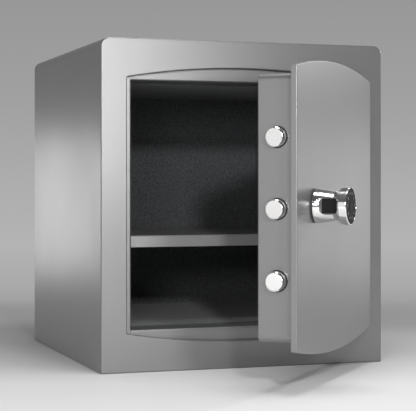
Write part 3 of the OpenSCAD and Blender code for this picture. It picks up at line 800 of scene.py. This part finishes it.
def make_cover_screws():
    """Screw heads on the boltwork's cover."""
    heads = []
    base = box("door_back_cover", DOOR)[1].y
    for low, high in islands("cover_screws", DOOR):
        centre = (low + high) / 2
        place = DOOR @ Matrix.Translation((centre.x, base, centre.z)) @ turn("X", -90)
        heads.append(screw_head((high.x - low.x) / 2, high.y - base, place))
    return dress(joined("casing_screws", heads), "door", "zinc_steel", "cover_screws")


def make_arm_screws():
    """Screws, with their shanks, that hold the hinge arms to the casing."""
    foot_t, shank_r = 6 * MM, 2.4 * MM
    heads = []
    foot = box("upper_hinge_arm", DOOR)[0].x + foot_t
    for low, high in islands("arm_screws", DOOR):
        centre = (low + high) / 2
        place = DOOR @ Matrix.Translation((foot, centre.y, centre.z)) @ turn("Y", 90)
        heads.append(screw_head((high.z - low.z) / 2, high.x - foot, place))
        shank = DOOR @ Matrix.Translation((low.x, centre.y, centre.z)) @ turn("Y", 90)
        heads.append(rod(shank_r, 0, foot - low.x, shank, 24))
    return dress(joined("hinge_screws", heads), "door", "zinc_steel", "arm_screws")


def make_bolt(name, node):
    """A round bolt: turned end with a chamfer and a shallow dished face."""
    low, high = box(node, DOOR)
    radius, length = (high.z - low.z) / 2, high.x - low.x
    chamfer = 1.8 * MM
    profile = [(0, length, 0), (radius, length, 0), (radius, chamfer, 0.5 * MM),
               (radius - chamfer, 0, 0.5 * MM), (radius - 2 * chamfer, 0.05 * MM, 0), (0, 0.12 * MM, 0)]
    centre = (low + high) / 2
    place = DOOR @ Matrix.Translation((low.x, centre.y, centre.z)) @ turn("Y", 90)
    return dress(revolve(name, profile, place, 96), "boltwork", "bolt_chrome", node)


def make_rose():
    """Black washer between the knob and the door."""
    low, high = box("knob_rose", KNOB)
    radius, height = high.x, high.z - low.z
    bore = 6.4 * MM
    profile = [(bore, 0, 0), (radius, 0, 0), (radius, height, 1.0 * MM), (bore, height, 0)]
    return dress(revolve("rose", profile, KNOB, 96), "door", "black_plastic", "knob_rose")


# ---- Knob ----

BADGE_T = 0.5 * MM
KEYS = 10


def flat_place():
    """Middle of the neck's flat, with X across it, Y along it towards the round end, and Z out of it."""
    low, high = box("knob_badge", KNOB)
    near = 0.3 * MM
    door_end = box("knob_badge", KNOB, only=lambda p: p.z < low.z + near)[0]
    round_end = box("knob_badge", KNOB, only=lambda p: p.z > high.z - near)[0]
    lean = atan2(round_end.x - door_end.x, round_end.z - door_end.z)
    middle = Vector((((door_end + round_end) / 2).x + BADGE_T / cos(lean), 0, (low.z + high.z) / 2))
    place = KNOB @ Matrix.Translation(middle) @ Matrix.Rotation(lean, 4, "Y")
    return place @ turn("Y", -90) @ turn("Z", -90)


def make_neck():
    """Tapered neck that flares into the drum, before milled_neck cuts its flat on the side towards the bolts."""
    low, high = box("knob_neck", KNOB)
    base_r = high.y
    flare_r = box("knob_neck", KNOB, only=lambda p: p.z > high.z - 0.1 * MM)[1].y
    waist_r, waist = 17.4 * MM, high.z - 5.2 * MM
    profile = [(0, low.z, 0), (base_r, low.z, 0.6 * MM), (waist_r, waist, 3.4 * MM),
               (flare_r, high.z - 0.5 * MM, 0), (flare_r, high.z, 0), (0, high.z, 0)]
    return revolve("neck", profile, KNOB, 128)


def make_drum():
    """Round end of the knob, with a thin rim round the recessed keypad."""
    low, high = box("knob_drum", KNOB)
    radius = high.x
    face_r = box("keypad_face", KNOB)[1].x + 0.15 * MM
    bevel = 0.8 * MM
    floor_z = high.z - 1.6 * MM
    profile = [(0, low.z, 0), (radius - bevel, low.z, 0), (radius, low.z + bevel, 0.3 * MM),
               (radius, high.z - bevel, 0.5 * MM), (face_r, high.z, 0.5 * MM), (face_r, floor_z, 0),
               (0, floor_z, 0)]
    return dress(revolve("drum", profile, KNOB, 128), "knob", "knob_chrome", "knob_drum")


def milled_neck():
    """The neck with its flat, which ends in a round cutter's mark towards the door."""
    badge_low, badge_high = box("knob_badge", KNOB)
    half = (badge_high.y - badge_low.y) / 2 + 1.4 * MM
    length = badge_high.z - badge_low.z
    cutter_r, out = 7 * MM, 12 * MM
    shape = outline(-half, half, -length / 2 - 3 * MM, length / 2 + 0.2 * MM, 0.8 * MM, cutter_r)
    cutter = loft("cutter", [at_height(shape(0), 0), at_height(shape(0), out)], flat_place())
    neck = cut(make_neck(), [cutter], 28)
    return dress(neck, "knob", "knob_chrome", "knob_neck")


def make_badge():
    """Blank dark inlay on the flat, with fine raised lines."""
    low, high = box("knob_badge", KNOB)
    half, length = (high.y - low.y) / 2 - 0.2 * MM, high.z - low.z
    pitch, rib = 1.6 * MM, 0.25 * MM
    count = int(2 * half / pitch)
    plate = outline(-half, half, -length / 2, length / 2, 0.5 * MM, 0.5 * MM)
    rings = [at_height(plate(0), 0.02 * MM), at_height(plate(0), 0.45 * MM)]
    rings.append(at_height(plate(-0.15 * MM), 0.55 * MM))
    pieces = [loft("inlay", rings, flat_place())]
    for k in range(count):
        middle = (k - (count - 1) / 2) * pitch
        line = outline(middle - rib, middle + rib, -length / 2 + MM, length / 2 - MM, 0.1 * MM, 0.1 * MM)
        rings = [at_height(line(0), 0.5 * MM), at_height(line(-0.08 * MM), 0.68 * MM)]
        pieces.append(loft("line", rings, flat_place()))
    return dress(joined("inlay_plate", pieces), "knob", "keypad_black", "knob_badge")


def make_keypad():
    """Recessed membrane with a ring of ten domed keys and one larger key in the middle."""
    low, high = box("keypad_face", KNOB)
    radius, dome, sunk = high.x, 0.35 * MM, 0.1 * MM
    base_top = high.z - dome
    profile = [(0, low.z, 0), (radius, low.z, 0), (radius, base_top, 0.25 * MM), (0, base_top, 0)]
    pieces = [revolve("membrane", profile, KNOB, 96)]
    keys = [(0, 0, radius * 0.30)]
    keys += [(x, y, radius * 0.15) for x, y in key_spots(radius)]
    height = dome + sunk
    for x, y, r in keys:
        place = KNOB @ Matrix.Translation((x, y, base_top - sunk))
        key = [(0, 0, 0), (r, 0, 0), (r * 0.96, height * 0.6, 0), (r * 0.8, height * 0.95, 0),
               (0, height, 0)]
        pieces.append(revolve("key", key, place, 32))
    return dress(joined("keypad", pieces), "knob", "keypad_black", "keypad_face")


def key_spots(radius):
    """Middles of the ten outer keys, on a ring inside the keypad's radius."""
    ring = radius * 0.70
    angles = [2 * pi * (k + 0.5) / KEYS for k in range(KEYS)]
    return [(ring * sin(a), ring * cos(a)) for a in angles]


def make_digits():
    """Plain numerals 0 to 9 printed on the keys."""
    high = box("keypad_face", KNOB)[1]
    pieces = []
    for digit, (x, y) in enumerate(key_spots(high.x)):
        curve = bpy.data.curves.new("digit", "FONT")
        curve.body = str(digit)
        curve.size = 4.2 * MM
        curve.align_x = "CENTER"
        curve.align_y = "CENTER"
        curve.extrude = 0.04 * MM
        text = bpy.data.objects.new("digit", curve)
        mesh = bpy.data.meshes.new_from_object(text)
        bpy.data.objects.remove(text)
        place = KNOB @ Matrix.Translation((x, y, high.z - 0.02 * MM))
        pieces.append(add("digit", mesh, place))
    return dress(joined("key_numerals", pieces), "knob", "keypad_black", material=PRINT)


# ---- Build ----

def build():
    """Every piece, in the order in which they are made."""
    make_fascia()
    make_shell()
    make_back()
    make_door_frame()
    make_lining()
    make_shelf()
    make_door_plate()
    make_back_cover()
    make_seal()
    make_cover_screws()
    make_arm_screws()
    for node, name in BOLTS.items():
        make_bolt(name, node)
    make_rose()
    make_drum()
    milled_neck()
    make_badge()
    make_keypad()
    make_digits()
    dress_frame_nodes()
    for node in ARMS + BRACKETS:
        soften_node(node, 0.7 * MM)


# ---- Studio, in metres and watts ----

VIEW_TURN = radians(-18.88)
VIEW = (-sin(VIEW_TURN), cos(VIEW_TURN))


def ramp(tree, fac, stops):
    """A grey colour ramp with (position, tone) stops, fed by fac."""
    made = tree.nodes.new("ShaderNodeValToRGB")
    tree.links.new(fac, made.inputs["Fac"])
    elements = made.color_ramp.elements
    while len(elements) < len(stops):
        elements.new(0.5)
    for element, (at, tone) in zip(elements, stops):
        element.position = at
        element.color = (*grey(tone), 1)
    return made.outputs["Color"]


def floor_material():
    """Pale floor with painted shade that darkens it with depth behind the safe, where the light falls off, and
    that fades into the surround.
    """
    paint = Paint("studio_floor", grey(0.6), 0.55, Specular_IOR_Level=0.2)
    along = paint.add("VectorMath", [(0, paint.place)])
    along.operation = "DOT_PRODUCT"
    along.inputs[1].default_value = (*VIEW, 0)
    depth = paint.between(along.outputs["Value"], 0, 1, -0.5, 0.7)
    # Painted shade: the base colour steps darker with depth away from the front, standing in for the light's
    # fall-off behind the safe.
    stops = [(0.0, 0.90), (0.12, 0.90), (0.27, 0.72), (0.47, 0.56), (0.72, 0.42)]
    paint.tree.links.new(ramp(paint.tree, depth, stops), paint.shader.inputs["Base Color"])
    fade = paint.between(along.outputs["Value"], 1, 0, 0.25, 0.9)
    paint.tree.links.new(fade, paint.shader.inputs["Alpha"])
    paint.bump(paint.noise(400, 3), 0.05 * MM, 0.3)
    return paint.material


def make_floor():
    """A wide round floor just under the safe."""
    drop = 0.2 * MM
    bpy.ops.mesh.primitive_circle_add(vertices=96, radius=14, fill_type="NGON", location=(0, 0, -drop))
    floor = bpy.context.object
    floor.name = "floor"
    floor.data.materials.append(floor_material())


def make_world():
    """Grey studio surround, brightest a little below the horizon and dimmer on the camera's side."""
    world = bpy.data.worlds.new("studio")
    world.use_nodes = True
    scene.world = world
    tree = world.node_tree
    tree.nodes.clear()
    spot = tree.nodes.new("ShaderNodeTexCoord")
    split = tree.nodes.new("ShaderNodeSeparateXYZ")
    back = tree.nodes.new("ShaderNodeBackground")
    end = tree.nodes.new("ShaderNodeOutputWorld")
    tree.links.new(spot.outputs["Generated"], split.inputs["Vector"])
    rise = map_range(tree, split.outputs["Z"], -0.15, 0.15, 0, 1)
    stops = [(0.0, 0.40), (0.16, 0.275), (0.253, 0.397), (0.35, 0.456), (0.5, 0.418), (0.683, 0.356),
             (0.92, 0.314)]
    tree.links.new(ramp(tree, rise, stops), back.inputs["Color"])
    dim = map_range(tree, split.outputs["Y"], -0.5, 0.3, 0.3, 1)
    tree.links.new(dim, back.inputs["Strength"])
    tree.links.new(back.outputs["Background"], end.inputs["Surface"])


def area_light(name, spot, aim, size, power):
    """A softbox that the camera doesn't see, turned towards a point."""
    light = bpy.data.lights.new(name, "AREA")
    light.shape = "RECTANGLE"
    light.size, light.size_y = size
    light.energy = power
    lamp = bpy.data.objects.new(name, light)
    scene.collection.objects.link(lamp)
    lamp.location = spot
    lamp.rotation_euler = (Vector(aim) - Vector(spot)).to_track_quat("-Z", "Y").to_euler()
    lamp.visible_camera = False


def make_lights():
    """Small softboxes in front for the broad tones, and others beside and behind for the edges."""
    front_middle = (0, FRONT, MIDDLE)
    upper_left = (-0.15, FRONT, 0.33)
    door_middle = (0.04, -0.40, 0.25)
    area_light("key", (-0.36, -1.9, 0.78), front_middle, (0.10, 0.10), 10)
    area_light("left_fill", (-0.85, -1.8, 0.52), front_middle, (0.3, 0.2), 4)
    area_light("front_soft", (0.12, -1.9, 0.50), upper_left, (0.25, 0.3), 6.5)
    area_light("right_edge", (1.34, 0.05, 0.73), (0.01, -0.43, 0.23), (0.12, 0.12), 4.6)
    area_light("right_back", (1.18, 0.30, 0.20), door_middle, (0.18, 0.34), 0.55)
    area_light("left_card", (-0.95, -0.95, 0.34), (-0.10, -0.44, 0.26), (0.6, 0.66), 1.0)
    area_light("back_left", (-0.46, 0.76, 0.21), (-0.206, -0.10, 0.23), (0.14, 0.28), 0.5)
    area_light("top", (0.0, -0.5, 1.7), (0, -0.2, 0.2), (0.5, 0.5), 11)


def make_camera():
    """A level camera to the left of the front, shifted down a little to frame the safe."""
    data = bpy.data.cameras.new("camera")
    data.sensor_width = 36
    data.lens = 120.8
    data.shift_y = -0.0567
    camera = bpy.data.objects.new("camera", data)
    scene.collection.objects.link(camera)
    camera.location = (-0.673, -2.021, 0.2564)
    camera.rotation_euler = (radians(90), 0, VIEW_TURN)
    scene.camera = camera


build()
make_floor()
make_world()
make_lights()
make_camera()
scene.view_settings.view_transform = "Standard"
